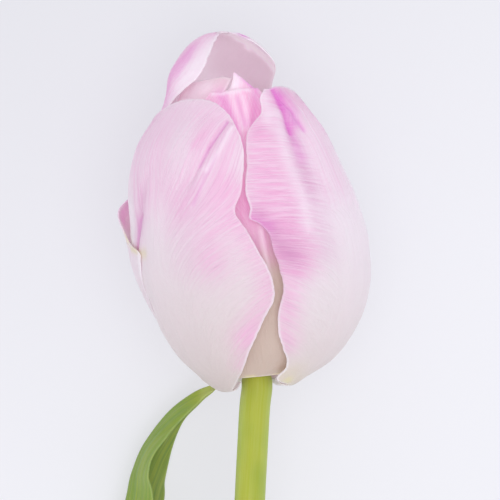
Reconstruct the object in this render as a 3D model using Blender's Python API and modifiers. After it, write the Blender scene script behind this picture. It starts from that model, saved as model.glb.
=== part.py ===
"""A cut parrot tulip, lying down: a nearly closed bloom of six petals on a bent stem with one leaf.

The flower lies on the floor (z = 0) on the flattened belly of its back petal. The cut end of its stem and the lower
edge of its leaf clear the floor by less than half a millimetre. The bloom points along +Y, and the side that a
viewer looks at faces +Z.
Lengths in the constants are millimetres, and angles are degrees. An azimuth is measured about the bloom's axis:
0 faces up at the viewer, 90 is the viewer's right, 180 is the belly and 270 is the viewer's left.
"""

import bisect
import math

import bmesh
import bpy
from mathutils import Matrix, Vector

MM = 0.001

# Where the flower lies
BELLY_RADIUS = 24.8
BELLY_FLATTENING = 1.5
PETAL_THICKNESS = 0.66
AXIS_HEIGHT = BELLY_RADIUS + PETAL_THICKNESS / 2 - BELLY_FLATTENING
BLOOM_BASE_X = 2.3
BLOOM_BASE_Y = 75.8
BLOOM_LEAN = 5.7

# The bloom's outline: radius and height over the joint with the stem, from a petal's foot to its tip
OUTER_PROFILE = [
    (3.9, -0.7), (5.4, -2.0), (7.6, -2.1), (10.4, -0.5), (14.1, 2.1), (18.1, 6.4), (21.4, 12.1), (23.7, 19.0),
    (BELLY_RADIUS, 27.0), (24.0, 34.5), (22.4, 42.0), (19.7, 50.0), (15.8, 56.0), (12.7, 61.0), (10.0, 65.5),
    (6.4, 69.5), (3.2, 71.7), (0.6, 72.4), (-2.0, 72.2),
]
# The back petal draws in above its widest part, under the front ones, and closes over the top
HOOD_PROFILE = [
    *OUTER_PROFILE[:9], (23.9, 34.5), (21.7, 42.0), (18.5, 50.0), (14.5, 56.0), (12.4, 60.5), (11.0, 65.2),
    (7.7, 69.5), (4.4, 71.8), (0.6, 72.7), (-2.0, 72.5),
]
INNER_PROFILE = [
    (2.9, 2.0), (5.2, 1.0), (7.6, 0.5), (10.3, 1.8), (12.9, 4.4), (16.1, 8.6), (18.9, 14.0), (20.9, 21.0),
    (21.3, 28.0), (20.3, 36.0), (18.6, 43.0), (15.9, 50.0), (12.7, 55.3), (10.0, 59.4), (8.0, 62.5), (5.8, 65.0),
]
# How far the bloom's middle bulges to the viewer's right, by height
SIDE_BULGE = [
    (-3, 0.0), (0, 0.9), (2, 1.6), (5, 2.0), (12, 2.4), (18, 2.2), (24, 1.4), (30, 0.85), (38, 0.3), (46, -0.4),
    (58, -0.4), (64, -0.6), (72, -0.4),
]
# The distances from the foot over which that bulge sets in
BULGE_STARTS = (3, 12)
# A petal's margin lies this much deeper where it passes under its neighbour, from these distances on
TUCK = 1.3
TUCK_STARTS = (2, 10)

# Each petal: its two margins as (distance from the foot, azimuth), its tip edge as (share of the width, distance),
# the azimuths between which its surface sinks under its neighbour, with how far they shift by distance if they do,
# and the distances over which the sinking ends if it does
PETALS = {
    "petal_front_left": {
        "profile": OUTER_PROFILE,
        "low": [
            (0, -90), (8, -94), (14, -106), (20, -108), (34, -106), (41, -99), (46, -92), (52, -91), (58, -97),
            (66, -94), (71.4, -80),
        ],
        "high": [
            (0, -60), (3, -50), (4.2, -44), (5.8, -33), (7.6, -26), (10, -21), (13.7, -15), (20.3, -5), (24.7, 1),
            (28.3, 6.7), (31.3, 8.1), (34.8, 7.4), (39.3, 4.1), (43.5, 0.6), (47.8, -3.6), (51.5, 0.8), (56.1, 4.6),
            (59.8, 6.6), (63.4, 6.1), (66.9, 3.5), (69.5, 1.2),
        ],
        "tip": [(0, 71.4), (0.22, 72.9), (0.46, 74.2), (0.72, 74.0), (0.87, 72.7), (0.95, 71.0), (1, 69.5)],
        "tuck": (-40, -56),
        "tuck_shift": [(20, -46), (26, -36), (31, -25), (36, -15), (41, -8)],
        "tuck_ends": (46, 54),
        "colour": (0.86, 0.70, 0.80),
    },
    "petal_front_right": {
        "profile": OUTER_PROFILE,
        "low": [
            (0, 75), (3, 68), (4.2, 58), (5.2, 44), (6.2, 30), (7.6, 21), (11.2, 21), (17.3, 12.8), (21.7, 9.2),
            (25, 8.9), (28.8, 11.6), (31.6, 13.1), (35.9, 12.5), (40.2, 11.5), (43, 10.5), (45, 7), (46.2, 2.6),
            (48, 4.6), (50, 4.4), (53, 4.6), (57, 8.6), (61, 10.6), (64.5, 12), (66.5, 16), (68.5, 22.5), (71, 26),
            (73.2, 28.5), (75.2, 37),
        ],
        "high": [
            (0, 134), (8, 138), (14, 139), (20, 142), (34, 142), (46, 140), (56, 136), (64, 126), (70, 110), (73.3, 94),
        ],
        "tip": [(0, 75.2), (0.22, 75.6), (0.45, 75.3), (0.77, 74.3), (1, 73.3)],
        "tuck": (24, 11),
        "colour": (0.88, 0.62, 0.80),
    },
    "petal_hood": {
        "profile": HOOD_PROFILE,
        "low": [
            (0, 150), (8, 148), (14, 142), (20, 134), (34, 131), (46, 129), (58, 129), (70, 132), (76.4, 127), (81, 98),
            (84, 80), (88, 62), (92.5, 46),
        ],
        "high": [
            (0, 252), (8, 258), (14, 262), (20, 263), (26, 270), (31, 279), (36, 287), (39, 292.5), (41.3, 294),
            (43.8, 279), (50, 265), (54, 257), (60, 258), (65, 266), (74, 297), (77, 317), (79, 333), (82, 340.5),
            (86.5, 345), (92, 356),
        ],
        "tip": [(0, 92.5), (0.15, 95), (0.4, 97.4), (0.6, 97.4), (0.85, 95), (1, 92)],
        "tuck": (158, 145),
        "tuck_ends": (58, 68),
        "colour": (0.85, 0.66, 0.80),
    },
    "petal_inner_front": {
        "profile": INNER_PROFILE,
        "low": [(0, -30), (6, -45), (14, -56), (26, -62), (40, -62), (52, -58), (62, -48), (68, -34), (72.3, -19)],
        "high": [(0, 52), (6, 60), (14, 66), (26, 70), (40, 70), (52, 68), (62, 62), (71.2, 48)],
        "tip": [
            (0, 72.3), (0.25, 72.5), (0.38, 73.2), (0.5, 75.4), (0.6, 77.3), (0.7, 76.2), (0.84, 74), (1, 71.8),
        ],
        "tuck": (42, 53),
        "colour": (0.85, 0.62, 0.68),
    },
    "petal_inner_right": {
        "profile": INNER_PROFILE,
        "low": [(0, 82), (6, 66), (14, 58), (26, 54), (40, 54), (52, 56), (60, 64), (65, 76)],
        "high": [(0, 168), (6, 182), (14, 190), (26, 196), (40, 196), (50, 190), (58, 176), (65, 150)],
        "tip": [(0, 65), (0.3, 69), (0.5, 70), (0.7, 69), (1, 65)],
        "tuck": (166, 177),
        "colour": (0.85, 0.62, 0.72),
    },
    "petal_inner_left": {
        "profile": INNER_PROFILE,
        "low": [(0, 205), (6, 190), (14, 183), (26, 179), (40, 179), (52, 185), (62, 198), (70, 222)],
        "high": [(0, 290), (6, 300), (14, 306), (26, 312), (40, 314), (52, 316), (62, 328), (70, 350), (75.6, 372)],
        "tip": [(0, 70), (0.2, 73.2), (0.45, 75.2), (0.7, 76), (0.88, 76.3), (1, 75.6)],
        "tuck": (286, 297),
        "colour": (0.86, 0.66, 0.70),
    },
}

# Grooves pressed into a petal's face, each as points (distance, azimuth), with its depth and half width in mm
GROOVES = {
    "petal_front_left": [([(68.3, -3), (61.3, -14), (55, -27)], 0.7, 1.9)],
    "petal_front_right": [([(76, 40), (69, 45), (64, 48), (56, 38), (50, 36)], 0.9, 2.4)],
    "petal_inner_front": [([(62, 14), (66, 12), (72, 4)], 0.5, 1.5), ([(60, 22), (66, 27), (71, 33)], 0.5, 1.5)],
}

# The back petal's left margin flares out of the bloom at this distance from its foot
FLARE_DISTANCE = 49.4
FLARE_LENGTH = 4.0
FLARE_AZIMUTHS = (246, 264)
FLARE_HEIGHT = 2.6

# Stem: middle line from the joint to the cut end, relative to the joint, and its radii
STEM_LINE = [
    (0.1, -2.5, 0.0), (-0.3, -6.0, -0.2), (-0.75, -14.0, -0.8), (-1.4, -26.0, -2.0), (-3.0, -60.0, -5.4),
    (-4.8, -100.0, -9.5), (-6.0, -140.0, -13.6), (-6.2, -180.0, -17.4), (-5.4, -224.0, -20.6),
]
STEM_TOP_RADIUS = 3.25
STEM_END_RADIUS = 3.05
STEM_RINGS = 22
# Receptacle: height over the joint along the bloom's axis, and radius
RECEPTACLE = [(2.4, 2.1), (1.1, 2.3), (0.4, 3.05), (-0.8, STEM_TOP_RADIUS)]

# Pistil and stamens
# Disc they grow from: lower and upper height, lower and upper radius
SEED_BASE = (2.8, 4.4, 4.0, 3.2)
PISTIL_PROFILE = [(3.6, 2.5), (9.0, 3.0), (15.0, 2.3), (17.0, 1.9)]
PISTIL_OVERLAP = 0.3
STIGMA_HEIGHT = 17.6
STIGMA_LOBE = (2.6, 1.0, 1.2)
STIGMA_TURN = 15
STAMEN_COUNT = 6
STAMEN_FOOT_RADIUS = 3.3
STAMEN_TOP_RADIUS = 6.4
FILAMENT_HEIGHT = 11.5
FILAMENT_RADII = (0.8, 0.45)
ANTHER_LENGTH = 9.5
ANTHER_RADIUS = 1.3
ANTHER_OVERLAP = 1.0
STAMEN_TURN = 30

# Leaf: stations from the clasping foot to the tip. Each has the keel's place relative to the joint, the breadth of
# one wing, the wings' angles from the leaf's opening at the keel and at the margin, and the roll of the opening
LEAF_THICKNESS = 0.64
LEAF_STATIONS = [
    ((-9.7, -130.0, -12.6), 7.0, 90, -12, 0),
    ((-9.5, -121.0, -11.7), 8.2, 90, -12, 0),
    ((-10.6, -108.0, -10.9), 10.4, 84, 8, 2),
    ((-14.2, -90.0, -11.8), 12.8, 68, 26, 5),
    ((-19.8, -72.0, -13.6), 13.6, 58, 34, 8),
    ((-25.4, -52.0, -14.9), 12.6, 52, 38, 6),
    ((-28.3, -34.0, -15.8), 10.6, 50, 40, 4),
    ((-27.2, -24.5, -17.2), 9.2, 50, 42, 12),
    ((-26.0, -19.8, -17.6), 7.9, 52, 44, 19),
    ((-23.7, -14.7, -17.6), 6.9, 52, 44, 18),
    ((-18.7, -8.2, -17.2), 4.9, 54, 44, 5),
    ((-13.6, -4.2, -16.0), 3.2, 48, 40, 0),
    ((-9.2, -2.5, -14.4), 0.5, 42, 40, 0),
]
LEAF_COLUMNS = 8
LEAF_ROWS = 28

# Columns and rows of the petals' grids
OUTER_GRID = (16, 22)
INNER_GRID = (14, 16)

STEM_COLOUR = (0.36, 0.46, 0.06)
LEAF_COLOUR = (0.16, 0.28, 0.05)
PISTIL_COLOUR = (0.55, 0.58, 0.25)
ROUGHNESS = 0.5


class Track:
    """A smooth line through points, read by the distance along it."""

    def __init__(self, points, steps=16):
        points = [Vector(p) for p in points]
        ends = [2 * points[0] - points[1], *points, 2 * points[-1] - points[-2]]
        self.line = []
        for a, b, c, d in zip(ends, ends[1:], ends[2:], ends[3:]):
            for step in range(steps):
                t = step / steps
                self.line.append(
                    (2 * b + (c - a) * t + (2 * a - 5 * b + 4 * c - d) * t**2 + (3 * b - 3 * c + d - a) * t**3) / 2
                )
        self.line.append(points[-1])
        self.along = [0.0]
        for a, b in zip(self.line, self.line[1:]):
            self.along.append(self.along[-1] + (b - a).length)
        self.length = self.along[-1]

    def at(self, distance):
        distance = min(max(distance, 0.0), self.length)
        k = min(max(bisect.bisect_right(self.along, distance), 1), len(self.along) - 1)
        share = (distance - self.along[k - 1]) / (self.along[k] - self.along[k - 1])
        return self.line[k - 1].lerp(self.line[k], share)

    def direction(self, distance, span=0.5):
        return (self.at(distance + span) - self.at(distance - span)).normalized()


def through(points, x):
    """The smooth curve y(x) through (x, y) points, level past both ends."""
    xs = [p[0] for p in points]
    if x <= xs[0]:
        return points[0][1]
    if x >= xs[-1]:
        return points[-1][1]
    k = bisect.bisect_right(xs, x) - 1

    def slope(i):
        low, high = max(i - 1, 0), min(i + 1, len(points) - 1)
        return (points[high][1] - points[low][1]) / (xs[high] - xs[low])

    step = xs[k + 1] - xs[k]
    t = (x - xs[k]) / step
    here, there = points[k][1], points[k + 1][1]
    return (
        here * (1 + 2 * t) * (1 - t) ** 2
        + there * t * t * (3 - 2 * t)
        + step * (slope(k) * t * (1 - t) ** 2 - slope(k + 1) * t * t * (1 - t))
    )


def ramp(x, start, full):
    """0 at start, 1 at full, smooth between them. start may be the larger."""
    t = min(max((x - start) / (full - start), 0.0), 1.0)
    return t * t * (3 - 2 * t)


PROFILES = {id(points): Track(points) for points in (OUTER_PROFILE, HOOD_PROFILE, INNER_PROFILE)}


def groove_depth(name, distance, azimuth, radius):
    """How deep the petal's grooves are at one place."""
    depth = 0.0
    for line, deep, half_width in GROOVES.get(name, []):
        nearest = min(
            math.hypot(distance - d, math.radians(azimuth - a) * radius)
            for d, a in groove_points(line)
        )
        depth += deep * math.exp(-((nearest / half_width) ** 2))
    return depth


def groove_points(line, steps=10):
    for (d0, a0), (d1, a1) in zip(line, line[1:]):
        for step in range(steps + 1):
            yield d0 + (d1 - d0) * step / steps, a0 + (a1 - a0) * step / steps


def petal_point(name, across, along):
    """A point of a petal's middle surface in the bloom's own frame: across from its low margin, along from its foot."""
    petal = PETALS[name]
    low, high = petal["low"], petal["high"]
    distance = along * through(petal["tip"], across)
    azimuth = (1 - across) * through(low, along * low[-1][0]) + across * through(high, along * high[-1][0])
    profile = PROFILES[id(petal["profile"])]
    radius, height = profile.at(distance)
    run, rise = profile.direction(distance)
    unshifted = azimuth - through(petal.get("tuck_shift", [(0, 0)]), distance)
    depth = TUCK * ramp(unshifted, *petal["tuck"]) * ramp(distance, *TUCK_STARTS)
    if "tuck_ends" in petal:
        depth *= 1 - ramp(distance, *petal["tuck_ends"])
    depth += groove_depth(name, distance, azimuth, radius)
    if name == "petal_hood":
        flare = math.exp(-(((distance - FLARE_DISTANCE) / FLARE_LENGTH) ** 2))
        depth -= FLARE_HEIGHT * flare * ramp(azimuth, *FLARE_AZIMUTHS)
    radius -= depth * rise
    height += depth * run
    turn = math.radians(azimuth)
    x = through(SIDE_BULGE, height) * ramp(distance, *BULGE_STARTS) + radius * math.sin(turn)
    z = max(radius * math.cos(turn), PETAL_THICKNESS / 2 - AXIS_HEIGHT)
    return Vector((x, height, z)) * MM


def even_ends(t):
    """Steps from 0 to 1 that are closer together near both ends."""
    return 0.55 * t + 0.45 * (1 - math.cos(math.pi * t)) / 2


def material(name, colour):
    made = bpy.data.materials.new(name)
    made.use_nodes = True
    shader = made.node_tree.nodes["Principled BSDF"]
    shader.inputs["Base Color"].default_value = (*colour, 1)
    shader.inputs["Roughness"].default_value = ROUGHNESS
    shader.inputs["Metallic"].default_value = 0
    made.diffuse_color = (*colour, 1)
    return made


def add_object(name, data, colour, parent=None):
    made = bpy.data.objects.new(name, data)
    data.materials.append(material(name, colour))
    bpy.data.collections["parrot_tulip"].objects.link(made)
    made.parent = parent
    return made


def sheet(name, columns, rows, place):
    """A grid whose points place(across, along) gives, split into triangles so that both faces of a wall match."""
    grid = bmesh.new()
    bmesh.ops.create_grid(grid, x_segments=columns, y_segments=rows, size=0.5)
    for vertex in grid.verts:
        vertex.co = place(vertex.co.x + 0.5, vertex.co.y + 0.5)
    bmesh.ops.triangulate(grid, faces=grid.faces[:])
    mesh = bpy.data.meshes.new(name)
    grid.to_mesh(mesh)
    grid.free()
    mesh.shade_smooth()
    return mesh


def add_wall(made, thickness):
    wall = made.modifiers.new("wall", "SOLIDIFY")
    wall.thickness = thickness * MM
    wall.offset = 0


def add_petal(name, bloom):
    columns, rows = INNER_GRID if PETALS[name]["profile"] is INNER_PROFILE else OUTER_GRID
    mesh = sheet(name, columns, rows, lambda u, v: petal_point(name, u, even_ends(v)))
    petal = add_object(name, mesh, PETALS[name]["colour"], bloom)
    add_wall(petal, PETAL_THICKNESS)


def add_stem():
    """The stem from its receptacle to its cut end, as one tube whose radius changes."""
    lean = Matrix.Rotation(math.radians(BLOOM_LEAN), 3, "Z")
    points = [(lean @ Vector((0, height, 0)), radius) for height, radius in RECEPTACLE]
    line = Track(STEM_LINE)
    for ring in range(STEM_RINGS + 1):
        share = ring / STEM_RINGS
        points.append((line.at(share * line.length), STEM_TOP_RADIUS + (STEM_END_RADIUS - STEM_TOP_RADIUS) * share))
    curve = bpy.data.curves.new("stem", "CURVE")
    curve.dimensions = "3D"
    curve.bevel_depth = MM
    curve.bevel_resolution = 3
    curve.use_fill_caps = True
    spline = curve.splines.new("POLY")
    spline.points.add(len(points) - 1)
    for target, (place, radius) in zip(spline.points, points):
        target.co = (*(place * MM), 1)
        target.radius = radius
    spline.use_smooth = True
    stem = add_object("stem", curve, STEM_COLOUR)
    stem.location = Vector((BLOOM_BASE_X, BLOOM_BASE_Y, AXIS_HEIGHT)) * MM


def leaf_point(across, along):
    """A point of the leaf's middle surface relative to the joint: across from the lower margin to the upper one."""
    keel = Track([station[0] for station in LEAF_STATIONS])
    last = len(LEAF_STATIONS) - 1
    marks = [distance_at_station(keel, k) for k in range(last + 1)]
    distance = along * keel.length
    breadth, at_keel, at_margin, roll = (
        through([(mark, station[part]) for mark, station in zip(marks, LEAF_STATIONS)], distance)
        for part in (1, 2, 3, 4)
    )
    forward = keel.direction(distance)
    opening = Vector((forward.y, -forward.x, 0)).normalized()
    up = opening.cross(forward)
    side = 2 * across - 1
    place = keel.at(distance)
    pieces = 8
    for piece in range(pieces):
        bend = (piece + 0.5) / pieces * abs(side)
        angle = math.radians(roll) + math.copysign(math.radians(at_keel + (at_margin - at_keel) * bend), side)
        place += (opening * math.cos(angle) + up * math.sin(angle)) * (breadth * abs(side) / pieces)
    return place * MM


def distance_at_station(keel, station):
    return keel.along[station * (len(keel.along) - 1) // (len(LEAF_STATIONS) - 1)]


def add_leaf():
    leaf = add_object("leaf", sheet("leaf", LEAF_COLUMNS, LEAF_ROWS, leaf_point), LEAF_COLOUR)
    leaf.location = Vector((BLOOM_BASE_X, BLOOM_BASE_Y, AXIS_HEIGHT)) * MM
    add_wall(leaf, LEAF_THICKNESS)


def along_axis(height, radius=0.0, turn=0.0):
    """A point in the bloom's frame at a height on its axis, or beside it."""
    return Vector((radius * math.sin(turn), height, radius * math.cos(turn))) * MM


def rod(target, foot, top, foot_radius, top_radius, segments=8):
    """A closed cone or cylinder between two points, added to a bmesh."""
    line = top - foot
    turn = line.to_track_quat("Z", "Y").to_matrix().to_4x4()
    bmesh.ops.create_cone(
        target,
        cap_ends=True,
        segments=segments,
        radius1=foot_radius * MM,
        radius2=top_radius * MM,
        depth=line.length,
        matrix=Matrix.Translation((foot + top) / 2) @ turn,
    )


def loose_piece(pieces, shape):
    """One closed body for the union below."""
    body = bmesh.new()
    shape(body)
    mesh = bpy.data.meshes.new("piece")
    body.to_mesh(mesh)
    body.free()
    made = bpy.data.objects.new("piece", mesh)
    pieces.objects.link(made)


def add_pistil_and_stamens(bloom):
    """The ovary with its three-lobed stigma and six stamens, joined on the receptacle into one body."""
    pieces = bpy.data.collections.new("pieces")
    bpy.context.scene.collection.children.link(pieces)
    low, high, low_radius, high_radius = SEED_BASE
    for (start, start_radius), (end, end_radius) in zip(PISTIL_PROFILE, PISTIL_PROFILE[1:]):
        loose_piece(
            pieces,
            lambda body, s=start, e=end, r=start_radius, q=end_radius: rod(
                body, along_axis(s - PISTIL_OVERLAP), along_axis(e), r, q, 12
            ),
        )
    for lobe in range(3):
        turn = math.radians(120 * lobe + STIGMA_TURN)
        reach, thick, tall = STIGMA_LOBE
        middle = along_axis(STIGMA_HEIGHT, reach / 2, turn)
        stretch = Matrix.Diagonal((thick * MM, tall * MM, reach * MM, 1))
        loose_piece(
            pieces,
            lambda body, m=middle, t=turn, s=stretch: bmesh.ops.create_uvsphere(
                body, u_segments=6, v_segments=5, radius=1, matrix=Matrix.Translation(m) @ Matrix.Rotation(t, 4, "Y") @ s
            ),
        )
    for stamen in range(STAMEN_COUNT):
        turn = math.radians(360 / STAMEN_COUNT * stamen + STAMEN_TURN)
        foot = along_axis((low + high) / 2, STAMEN_FOOT_RADIUS, turn)
        top = along_axis(FILAMENT_HEIGHT, STAMEN_TOP_RADIUS, turn)
        loose_piece(pieces, lambda body, f=foot, t=top: rod(body, f, t, *FILAMENT_RADII, 6))
        middle = along_axis(FILAMENT_HEIGHT + ANTHER_LENGTH / 2 - ANTHER_OVERLAP, STAMEN_TOP_RADIUS, turn)
        stretch = Matrix.Diagonal((ANTHER_RADIUS * MM, ANTHER_LENGTH / 2 * MM, ANTHER_RADIUS * MM, 1))
        loose_piece(
            pieces,
            lambda body, m=middle, s=stretch: bmesh.ops.create_uvsphere(
                body, u_segments=6, v_segments=5, radius=1, matrix=Matrix.Translation(m) @ s
            ),
        )
    base = bmesh.new()
    rod(base, along_axis(low), along_axis(high), low_radius, high_radius, 18)
    mesh = bpy.data.meshes.new("pistil_base")
    base.to_mesh(mesh)
    base.free()
    core = add_object("pistil_and_stamens", mesh, PISTIL_COLOUR)
    join = core.modifiers.new("join", "BOOLEAN")
    join.operation = "UNION"
    join.operand_type = "COLLECTION"
    join.collection = pieces
    join.solver = "EXACT"
    bpy.context.view_layer.update()
    joined = bpy.data.meshes.new_from_object(core.evaluated_get(bpy.context.evaluated_depsgraph_get()))
    core.modifiers.clear()
    core.data = joined
    core.parent = bloom
    for piece in list(pieces.objects):
        bpy.data.objects.remove(piece)
    bpy.data.collections.remove(pieces)


def main():
    for old in list(bpy.data.objects):
        bpy.data.objects.remove(old)
    flower = bpy.data.collections.new("parrot_tulip")
    bpy.context.scene.collection.children.link(flower)
    bloom = bpy.data.objects.new("bloom", None)
    flower.objects.link(bloom)
    bloom.location = Vector((BLOOM_BASE_X, BLOOM_BASE_Y, AXIS_HEIGHT)) * MM
    bloom.rotation_euler = (0, 0, math.radians(BLOOM_LEAN))
    for name in PETALS:
        add_petal(name, bloom)
    add_pistil_and_stamens(bloom)
    add_stem()
    add_leaf()


main()
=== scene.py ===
"""A cut parrot tulip on a pale table: a nearly closed, softly waved bloom on a bent stem with one channelled leaf.

Lengths in the tables are millimetres and angles are degrees. On the bloom, a place on a petal is a distance from the
petal's foot and an azimuth about the bloom's axis: 0 faces up from the table, 90 is right, 180 is the belly that
the flower lies on, and 270 is left.
"""

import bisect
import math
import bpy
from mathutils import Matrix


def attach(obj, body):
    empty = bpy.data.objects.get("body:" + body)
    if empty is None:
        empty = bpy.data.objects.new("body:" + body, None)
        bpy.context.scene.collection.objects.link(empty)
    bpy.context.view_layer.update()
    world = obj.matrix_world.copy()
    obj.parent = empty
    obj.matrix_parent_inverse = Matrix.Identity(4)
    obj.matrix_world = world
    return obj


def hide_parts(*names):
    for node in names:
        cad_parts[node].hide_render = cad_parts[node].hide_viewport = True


bl_info = {
    "name": "Cut parrot tulip",
    "version": (1, 0, 0),
    "blender": (4, 5, 0),
    "location": "3D View > Sidebar > Tulip",
    "description": "Builds a cut parrot tulip petal by petal, with its stem, leaf and studio",
    "category": "Add Mesh",
}

import bmesh
import bpy
import numpy as np
from bpy.props import FloatProperty, FloatVectorProperty, PointerProperty
from mathutils import Matrix, Vector, noise

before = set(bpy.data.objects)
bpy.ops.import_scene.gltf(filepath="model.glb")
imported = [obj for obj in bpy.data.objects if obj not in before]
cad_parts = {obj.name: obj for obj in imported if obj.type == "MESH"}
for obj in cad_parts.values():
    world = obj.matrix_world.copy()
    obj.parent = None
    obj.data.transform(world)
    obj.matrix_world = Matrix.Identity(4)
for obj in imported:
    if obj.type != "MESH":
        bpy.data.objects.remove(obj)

MM = 0.001

# How the bloom lies: its axis is this high over the table, starts at this place over the stem and leans to the left.
# Its belly is flattened. SOLID_HALF_WALL is half of a solid petal's thickness, and no petal's middle surface lies
# lower over the table than LOWEST_SURFACE
BELLY_RADIUS = 24.8
BELLY_FLATTENING = 1.5
SOLID_HALF_WALL = 0.33
LOWEST_SURFACE = 0.27
AXIS_HEIGHT = BELLY_RADIUS + SOLID_HALF_WALL - BELLY_FLATTENING
BLOOM_BASE = (2.3, 75.8)
BLOOM_LEAN = 5.7

# The bloom's outline: radius and height over the joint with the stem, from a petal's foot to its tip
OUTER_PROFILE = [
    (3.9, -0.7), (5.4, -2.0), (7.6, -2.1), (10.4, -0.5), (14.1, 2.1), (18.1, 6.4), (21.4, 12.1), (23.7, 19.0),
    (BELLY_RADIUS, 27.0), (24.0, 34.5), (22.4, 42.0), (19.7, 50.0), (15.8, 56.0), (12.7, 61.0), (10.0, 65.5),
    (6.4, 69.5), (3.2, 71.7), (0.6, 72.4), (-2.0, 72.2),
]
HOOD_PROFILE = [
    (3.2, 0.7), (3.9, 0.1), (5.4, -0.6), (7.6, -0.8), (10.4, 0.2), (14.1, 2.3), *OUTER_PROFILE[5:9], (23.9, 34.5),
    (21.7, 42.0), (18.5, 50.0), (14.5, 56.0), (12.4, 60.5), (11.0, 65.2), (7.7, 69.5), (4.4, 71.8), (0.6, 72.7),
    (-2.0, 72.5),
]
INNER_PROFILE = [
    (2.9, 2.0), (5.2, 1.0), (7.6, 0.5), (10.3, 1.8), (12.9, 4.4), (16.1, 8.6), (18.9, 14.0), (20.9, 21.0),
    (21.3, 28.0), (20.3, 36.0), (18.6, 43.0), (15.9, 50.0), (12.7, 55.3), (10.0, 59.4), (8.0, 62.5), (5.8, 65.0),
]
# How far the bloom's middle bulges to the right, by height, and the distances from the foot over which that sets in
SIDE_BULGE = [
    (-3, 0.0), (0, 0.9), (2, 1.6), (5, 2.0), (12, 2.4), (18, 2.2), (24, 1.4), (30, 0.85), (38, 0.3), (46, -0.4),
    (58, -0.4), (64, -0.6), (72, -0.4),
]
BULGE_STARTS = (3, 12)
# How deep a margin sinks under its neighbour, and the distances from the foot over which it starts to
TUCK = 0.6
TUCK_STARTS = (2, 10)

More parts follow.
